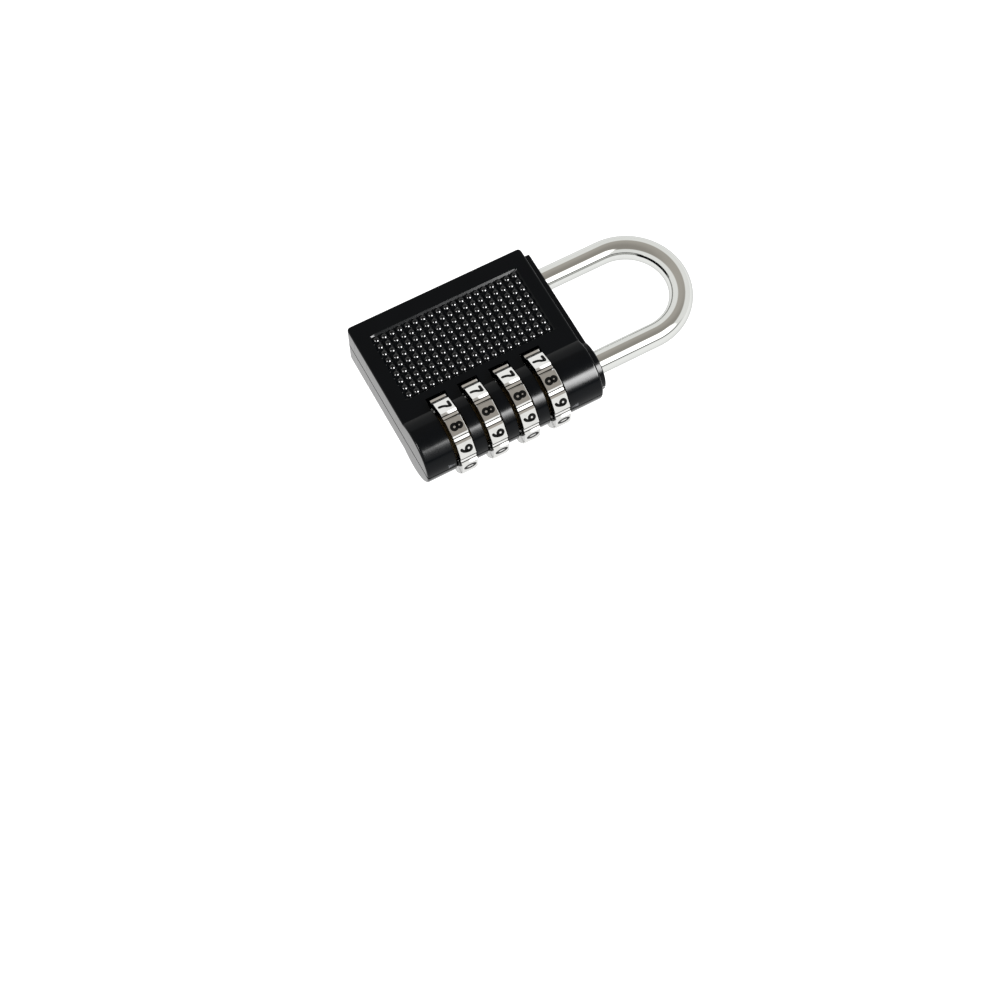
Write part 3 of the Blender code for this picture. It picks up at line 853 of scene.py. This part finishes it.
def dial_wheel(dial_y):
    """A closed profile carried round the axis, with its own outer and inner radius per angle."""
    sector = 2 * np.pi / SIDES
    flat = math.atan2(FLAT_WIDTH / 2, FLAT_REACH)
    floor = math.atan2(GROOVE_WIDTH / 2, GROOVE_REACH)
    corner = FLAT_REACH / math.cos(flat)
    wide = math.asin(HALF_NOTCH / BORE)
    deep = math.asin(HALF_NOTCH / NOTCH)
    edge = GROOVE_REACH / math.cos(floor)
    outer_a = np.array([-flat, 0, flat, sector / 2 - floor, sector / 2, sector / 2 + floor])
    outer_r = np.array([corner, FLAT_REACH, corner, edge, GROOVE_REACH, edge])
    inner_a = np.array([-deep, 0, deep, wide, sector / 2, sector - wide])
    inner_r = np.array([NOTCH, NOTCH, NOTCH, BORE, BORE, BORE])
    side = np.arange(SIDES)[:, None] * sector
    outer_a, inner_a = (side + outer_a).ravel()[:, None], (side + inner_a).ravel()[:, None]
    outer_r, inner_r = np.tile(outer_r, SIDES)[:, None], np.tile(inner_r, SIDES)[:, None]
    rim, wide_bore = outer_r - DIAL_EDGE, 0 * inner_r + NOTCH
    reach = np.hstack([
        rim, outer_r - EDGE_STEP, outer_r, outer_r, outer_r - EDGE_STEP, rim,
        inner_r, inner_r, wide_bore, wide_bore,
    ])
    angle = np.hstack([outer_a] * 6 + [inner_a] * 4)
    top = [HALF_DIAL - DIAL_EDGE, HALF_DIAL - EDGE_STEP, HALF_DIAL]
    height = np.array([-h for h in top[::-1]] + top + [HALF_DIAL, NOTCH_FLOOR, NOTCH_FLOOR, -HALF_DIAL])
    y = dial_y + height[None] + 0 * angle
    points = np.stack([AXIS_X + reach * np.cos(angle), y, MID_Z + reach * np.sin(angle)], -1)
    return points.reshape(-1, 3), grid_quads(*points.shape[:2], True, True)


for body, dial_y in DIALS.items():
    wheel = make_piece(body + "_wheel", *dial_wheel(dial_y), body, DIAL_CHROME, "dial_chrome", 20)
    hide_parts(body)

# %% [markdown]
# ## The digits
# The digits are cut into the flats and filled with black paint. Each is one or two strokes of
# an even width with round ends, so a stroke is a flat profile carried along a centre line made
# of arcs and straight runs. The line's points are spaced evenly first, and near its ends the
# stroke narrows along a half circle. A 9 is a 6 turned upside down.

# %% Centre lines of the ten digits
STROKE = 0.76
TALL = 2.55
WIDE = 1.52


def bow(x, y, across, up, first, last):
    """Points on part of an ellipse, with its angles in degrees."""
    turn = np.radians(np.linspace(first, last, 33))
    return np.stack([x + across * np.cos(turn), y + up * np.sin(turn)], 1)


def digit_lines():
    """Strokes of each digit, in a box that is WIDE by TALL about the origin."""
    a, b = WIDE / 2, TALL / 2
    six = [bow(0, 0.66 - b, 0.66, 0.66, 180, -180), bow(0.42, 0.55 - b, 1.08, TALL - 0.62, 178, 98)]
    belly = bow(0, 0.74 - b, 0.7, 0.74, 128, -150)
    return {
        0: [bow(0, 0, a - 0.04, b, 90, 450)],
        1: [np.array([(-0.42, b - 0.50), (0.12, b), (0.12, -b)])],
        2: [np.concatenate([bow(0, b - 0.66, 0.66, 0.66, 165, -32), [(-a, -b), (a, -b)]])],
        3: [bow(0, b - 0.60, 0.60, 0.60, 150, -90), bow(0, 0.68 - b, 0.68, 0.68, 90, -150)],
        4: [np.array([(0.34, -b), (0.34, b), (-a, -0.42), (a, -0.42)])],
        5: [np.concatenate([[(0.58, b), (-0.50, b), (-0.60, 0.16)], belly])],
        6: six,
        7: [np.concatenate([[(-a, b), (a, b)], bow(0.95, -b, 1.15, 1.9, 118, 180)])],
        8: [bow(0, b - 0.58, 0.56, 0.58, 90, 450), bow(0, 0.70 - b, 0.66, 0.70, 90, 450)],
        9: [-line for line in six],
    }


print("digits:", {digit: len(lines) for digit, lines in digit_lines().items()}, "strokes each")

# %% A stroke of paint
LINE_STEP = 0.11
ROUND_END = np.array([1.0, 0.9, 0.6]) * STROKE / 2


def even(line, step):
    """The same line with points an even step apart along it."""
    run = np.concatenate([[0], np.cumsum(np.hypot(*np.diff(line, axis=0).T))])
    count = max(3, int(round(run[-1] / step)) + 1)
    at = np.linspace(0, run[-1], count)
    return np.stack([np.interp(at, run, line[:, k]) for k in (0, 1)], 1)


def unit(step):
    """A direction along the last axis, made one long."""
    return step / np.hypot(step[..., 0], step[..., 1])[..., None]


def with_round_ends(line):
    """The line made longer at both ends, and its half width: a half circle over each new run."""
    first = line[0] + ROUND_END[:, None] * unit(line[0] - line[1])
    last = line[-1] + ROUND_END[::-1, None] * unit(line[-1] - line[-2])
    run = np.concatenate([ROUND_END, np.zeros(len(line)), ROUND_END[::-1]])
    half = np.sqrt(np.clip((STROKE / 2) ** 2 - run**2, 0, None))
    return np.concatenate([first, line, last]), half


def stroke(line):
    """A flat bar of paint carried along a line: its half width falls to nothing at open ends."""
    closed = np.allclose(line[0], line[-1], atol=1e-6)
    line = even(line, LINE_STEP)
    if closed:
        width = np.full(len(line), STROKE / 2)
        step = np.roll(line[:-1], -1, 0) - np.roll(line[:-1], 1, 0)
        step = unit(np.vstack([step, step[:1]]))
    else:
        line, width = with_round_ends(line)
        step = unit(np.gradient(line, axis=0))
    side = np.stack([-step[:, 1], step[:, 0]], 1) * width[:, None]
    left, right = line + side, line - side
    ring = [(left, 0.0), (left, 1.0), (right, 1.0), (right, 0.0)]
    points = np.stack([np.column_stack([place, np.full(len(place), up)]) for place, up in ring], 1)
    return points.reshape(-1, 3), grid_quads(len(line), 4, False, True)


# %% Digits on the dials
INK_DEPTH = 0.08
INK_PROUD = 0.008


def lay_on_flat(points, digit, dial_y):
    """Turns a digit to its own flat: right goes round the dial, up goes to the shackle."""
    turn = 2 * np.pi / SIDES * ((SIDES - digit) % SIDES)
    out = np.array([math.cos(turn), 0, math.sin(turn)])
    right = np.cross((0, 1, 0), out)
    reach = FLAT_REACH + INK_PROUD - INK_DEPTH * (1 - points[:, 2])
    centre = np.array([AXIS_X, dial_y, MID_Z])
    return centre + points[:, :1] * right + points[:, 1:2] * (0, 1, 0) + reach[:, None] * out


for body, dial_y in DIALS.items():
    spots, faces, total = [], [], 0
    for digit, lines in digit_lines().items():
        for line in lines:
            points, quads = stroke(line)
            spots.append(lay_on_flat(points, digit, dial_y))
            faces.append(quads + total)
            total += len(points)
    paint = np.concatenate(spots), np.concatenate(faces)
    make_piece(body + "_digits", *paint, body, INK, "dial_chrome")

# %% [markdown]
# ## The index marks
# The code is read along one line on the dial side. A small pointer is cast into the front shell
# at each end of the row of dials, close to the parting line. Its enamel is rubbed thin, so it is
# duller and greyer than the rest.

# %% Index marks
MARK_ANGLE, MARK_SPREAD = math.radians(7.5), math.radians(4.0)
MARK_LENGTH = 1.9
MARK_GAP = 0.35


def pointer(tip_y, base_y):
    """A low triangle that follows the barrel: its width falls to nothing towards the tip.

    A column in the middle of the foot and a row in the middle of the base close it.
    """
    run = np.linspace(0, 1, 7)[:, None]
    half = MARK_SPREAD * (1 - run)
    share = np.array([-1, -1, -0.5, 0, 0.5, 1, 1])[None]
    lift = np.array([-0.1, 0.0, 0.05, 0.07, 0.05, 0.0, -0.1])[None]
    angle = MARK_ANGLE + half * share
    reach = BARREL_RADIUS + lift
    y = base_y + (tip_y - base_y) * run + 0 * angle
    points = np.stack([AXIS_X + reach * np.cos(angle), y, MID_Z + reach * np.sin(angle)], -1)
    closing = (points[:, :1] + points[:, -1:]) / 2
    points = np.concatenate([closing, points, closing], 1)
    first = np.broadcast_to(points[:1].mean(1, keepdims=True), points[:1].shape)
    points = np.concatenate([first, points], 0)
    return points.reshape(-1, 3), grid_quads(*points.shape[:2])


upper = max(DIALS.values()) + HALF_WINDOW + MARK_GAP
lower = min(DIALS.values()) - HALF_WINDOW - MARK_GAP
MARK_ENAMEL = finish(
    "worn_enamel",
    lambda s: s.blend(s.noise(0.4, 3), (0.006, 0.006, 0.007), (0.030, 0.031, 0.033)),
    lambda s: 0.25 + 0.2 * s.noise(0.4, 3),
    Specular_IOR_Level=0.12,
)
upper_mark, lower_mark = pointer(upper, upper + MARK_LENGTH), pointer(lower, lower - MARK_LENGTH)
make_piece("index_mark_upper", *upper_mark, "body", MARK_ENAMEL, "body_paint")
make_piece("index_mark_lower", *lower_mark, "body", MARK_ENAMEL, "body_paint")

# %% [markdown]
# ## The pieces that stay as packed
# The sleeves, washers, springs, pins and ring have the right shape already, so they only get
# their finishes.

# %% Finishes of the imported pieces
FINISHES = {
    "sleeve": BRASS_PAINTED_DARK, "lower_washer": STEEL, "upper_washer": STEEL, "shell_pin": STEEL,
    "clutch_spring": SPRING_STEEL, "detent_spring": SPRING_STEEL, "shackle_ring": SPRING_STEEL,
}
for name, node in frame["nodes"].items():
    for start, metal in FINISHES.items():
        if name.startswith(start):
            node.data.materials.clear()
            node.data.materials.append(metal)
finished = [name for name in frame["nodes"] if name.startswith(tuple(FINISHES))]
print("packed nodes with a finish:", len(finished))

# %% [markdown]
# ## The studio
# The padlock lies on a bright sweep. A polished thing shows its room, so the room matters more
# than the lamps: a white wall all round up to about forty-five degrees, a warm grey ceiling that
# darkens towards the dial side, and a thin dark gap low on that side. A height below is the
# upward part of a direction whose length is one: 0 is level and 1 is straight up.

# %% Floor
SWEEP_GLOW = 1.4
SWEEP_REACH = 4.0
SWEEP_Z = -5e-5


def shade_floor():
    """A pale surface that glows a little, as a lit sweep does, so shadows stay faint."""
    material = bpy.data.materials.new("sweep")
    material.use_nodes = True
    s = Shader(material.node_tree)
    grain = s.blend(s.noise(40), (0.15, 0.15, 0.15), (0.16, 0.16, 0.16))
    surface = s.node(
        "ShaderNodeBsdfPrincipled", {},
        {"Base Color": grain, "Roughness": 0.6, "Specular IOR Level": 0.0,
         "Emission Color": (1.0, 1.0, 1.0, 1.0), "Emission Strength": SWEEP_GLOW},
    )
    s.node("ShaderNodeOutputMaterial", {}, {"Surface": surface})
    return material


square = SWEEP_REACH * np.array([(-1, -1), (1, -1), (1, 1), (-1, 1)])
floor_mesh = bpy.data.meshes.new("sweep")
floor_mesh.from_pydata([(x, y, SWEEP_Z) for x, y in square.tolist()], [], [(0, 1, 2, 3)])
floor_mesh.materials.append(shade_floor())
floor = bpy.data.objects.new("sweep", floor_mesh)
bpy.context.scene.collection.objects.link(floor)
print("floor just under the padlock, at z in mm:", SWEEP_Z / MM)

# %% Room
CEILING = (0.66, 0.76)
GAP_SIDE, GAP_BOTTOM, GAP_TOP = (0.45, 0.75), (0.11, 0.14), (0.22, 0.27)
WALL_LIGHT, GAP_SHADE = 1.32, 1.25
WHITE, SHOWN_LIGHT = (1.0, 1.0, 1.0), 1.08

world = bpy.data.worlds.new("studio")
world.use_nodes = True
bpy.context.scene.world = world
room = Shader(world.node_tree)
direction = room.node("ShaderNodeTexCoord", output="Generated")
towards_x = room.node("ShaderNodeSeparateXYZ", {}, {0: direction}, 0)
towards_z = room.node("ShaderNodeSeparateXYZ", {}, {0: direction}, 2)


def ramp(value, low, high):
    """0 below low, 1 above high, and smooth between."""
    return room.node(
        "ShaderNodeMapRange", {"interpolation_type": "SMOOTHSTEP"}, {0: value, 1: low, 2: high}
    )


past_bottom, past_top = ramp(towards_z, *GAP_BOTTOM), ramp(towards_z, *GAP_TOP)
gap = ramp(towards_x, *GAP_SIDE) * past_bottom * (1 - past_top)
walls = WALL_LIGHT - GAP_SHADE * gap
panels = room.blend(ramp(towards_x, -0.55, 0.25), (0.50, 0.47, 0.43), (0.36, 0.335, 0.305))
surround = room.blend(ramp(towards_z, *CEILING), (1.0, 1.0, 0.985), panels)
to_camera = room.node("ShaderNodeLightPath", output="Is Camera Ray")
level = walls + (SHOWN_LIGHT - walls) * to_camera
colour = room.blend(to_camera, surround, WHITE)
background = room.node("ShaderNodeBackground", {}, {"Color": colour, "Strength": level})
room.node("ShaderNodeOutputWorld", {}, {"Surface": background})
print("room: ceiling from", round(math.degrees(math.asin(CEILING[0]))), "degrees up")

# %% [markdown]
# ## Lamps
# Black enamel gives back only a small share of what falls on it, so it needs a very bright soft
# box to show a highlight, and the same box would burn out the chrome. Light linking settles that:
# each lamp lights one group of pieces only. Two strong boxes are for the enamel, and one mild box
# from the same side is for the metal. Each box is brightest in its middle and fades to nothing at
# its edges, so that no hard outline of a lamp shows in a polished surface.

# %% Lamps
LAMP_DISTANCE = 0.62
LAMP_TARGET = (0, 0, 0.01)
LAMP_CORE = 0.75


def aim(lamp, place, target):
    """Puts a lamp at a place and turns it to shine at a target."""
    ahead = Vector(target) - Vector(place)
    lamp.rotation_mode = "QUATERNION"
    lamp.location = place
    lamp.rotation_quaternion = ahead.to_track_quat("-Z", "Y")


def at_direction(azimuth, elevation, distance):
    """A place seen from the padlock at an azimuth from +X towards +Y and an elevation."""
    a, e = math.radians(azimuth), math.radians(elevation)
    return Vector((math.cos(a) * math.cos(e), math.sin(a) * math.cos(e), math.sin(e))) * distance


def group(name, enamelled):
    """A collection of the enamelled pieces, or of all the others; the floor is in neither."""
    made = bpy.data.collections.new(name)
    for thing in bpy.data.objects:
        finishes = [m.name for m in thing.data.materials if m] if thing.type == "MESH" else []
        if finishes and finishes[0] != "sweep" and enamelled == ("enamel" in finishes[0]):
            made.objects.link(thing)
    return made


def soft_lamp(name, azimuth, elevation, size, brightness, lit):
    """A soft box: its light is the product over both axes of 4 t (1 - t), full from LAMP_CORE."""
    data = bpy.data.lights.new(name, "AREA")
    data.shape = "RECTANGLE"
    data.size, data.size_y = size
    data.energy = brightness * math.pi * size[0] * size[1]
    data.use_nodes = True
    s = Shader(data.node_tree)
    spot = s.node("ShaderNodeNewGeometry", output="Parametric")
    strength = 1.0
    for axis in (0, 1):
        along = s.node("ShaderNodeSeparateXYZ", {}, {0: spot}, axis)
        rise = along * (1 - along) * 4
        strength = strength * s.node(
            "ShaderNodeMapRange", {"interpolation_type": "SMOOTHSTEP"}, {0: rise, 1: 0.0, 2: LAMP_CORE}
        )
    glow = s.node("ShaderNodeEmission", {}, {"Strength": strength})
    s.node("ShaderNodeOutputLight", {}, {"Surface": glow})
    made = bpy.data.objects.new(name, data)
    bpy.context.scene.collection.objects.link(made)
    made.light_linking.receiver_collection = lit
    aim(made, at_direction(azimuth, elevation, LAMP_DISTANCE), LAMP_TARGET)


enamelled = group("enamelled pieces", True)
metal = group("metal and painted pieces", False)
soft_lamp("right_paint_lamp", 34, 38, (0.40, 0.40), 98, enamelled)
soft_lamp("left_paint_lamp", -76, 42, (0.24, 0.24), 60, enamelled)
soft_lamp("right_metal_lamp", 32, 38, (0.43, 0.50), 3.0, metal)

# %% [markdown]
# ## Camera
# The camera looks down on the front from the dial side, about half a metre away, so that the
# panel, the dials and the whole shackle show. Its turn is given by the three directions of its
# own axes, one in each column. The colours go out as they are, without a film look.

# %% Camera
CAMERA_PLACE = Vector((200.0757, -123.9090, 429.0176))
CAMERA_TURN = Matrix((
    (0.47988097, -0.79893091, 0.36252401),
    (0.87730592, 0.43370025, -0.20551986),
    (0.00696941, 0.41666953, 0.90903131),
))

camera_data = bpy.data.cameras.new("camera")
camera_data.lens = 70.916
camera_data.sensor_width = 36.0
camera_data.clip_start = 0.01
camera = bpy.data.objects.new("camera", camera_data)
bpy.context.scene.collection.objects.link(camera)
camera.rotation_mode = "QUATERNION"
camera.location = CAMERA_PLACE * MM
camera.rotation_quaternion = CAMERA_TURN.to_quaternion()
bpy.context.scene.camera = camera
bpy.context.scene.view_settings.view_transform = "Standard"
bpy.context.scene.view_settings.look = "None"
print("camera to padlock, mm:", round(CAMERA_PLACE.length))
